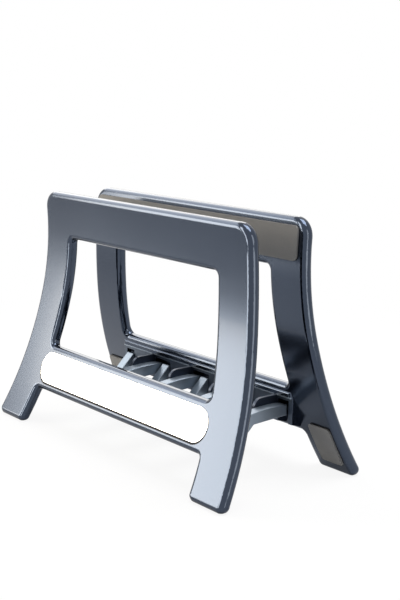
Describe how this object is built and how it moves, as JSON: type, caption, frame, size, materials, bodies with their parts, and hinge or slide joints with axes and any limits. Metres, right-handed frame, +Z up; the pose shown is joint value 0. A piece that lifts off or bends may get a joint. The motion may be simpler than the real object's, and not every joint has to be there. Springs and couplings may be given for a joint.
{
  "type": "vertical laptop stand",
  "caption": "Vertical laptop stand with mirrored arch frames hinged on crossing arms, rubber pads inside and a plain front plate.",
  "frame": {"origin": "on the floor, in the middle between the frames", "axes": "+X along the long side of the frames, +Y from the plated front frame to the rear frame, +Z up"},
  "size_m": [0.1836, 0.0842, 0.1188],
  "materials": {
    "frame_metal": "satin, coloured blue-grey",
    "plate_metal": "bright silver, polished",
    "pad_rubber": "matte warm grey",
    "rod_steel": "ground",
    "washer_plastic": "plain white"
  },
  "bodies": {
    "front": {"front_frame": "frame_metal", "name_plate": "plate_metal", "front_top_pad": "pad_rubber", "front_left_leg_pad": "pad_rubber", "front_right_leg_pad": "pad_rubber", "hinge_rod": "rod_steel", "right_rod_plug": "frame_metal", "left_washer": "washer_plastic", "middle_washer": "washer_plastic", "right_washer": "washer_plastic"},
    "rear": {"rear_frame": "frame_metal", "rear_top_pad": "pad_rubber", "rear_left_leg_pad": "pad_rubber", "rear_right_leg_pad": "pad_rubber", "left_rod_plug": "frame_metal"}
  },
  "joints": [
    {"name": "frame_hinge", "type": "hinge", "parent": "front", "child": "rear", "pos_m": [0, 0, 0.0267], "axis": [1, 0, 0], "range_deg": [-4, 15]}
  ]
}
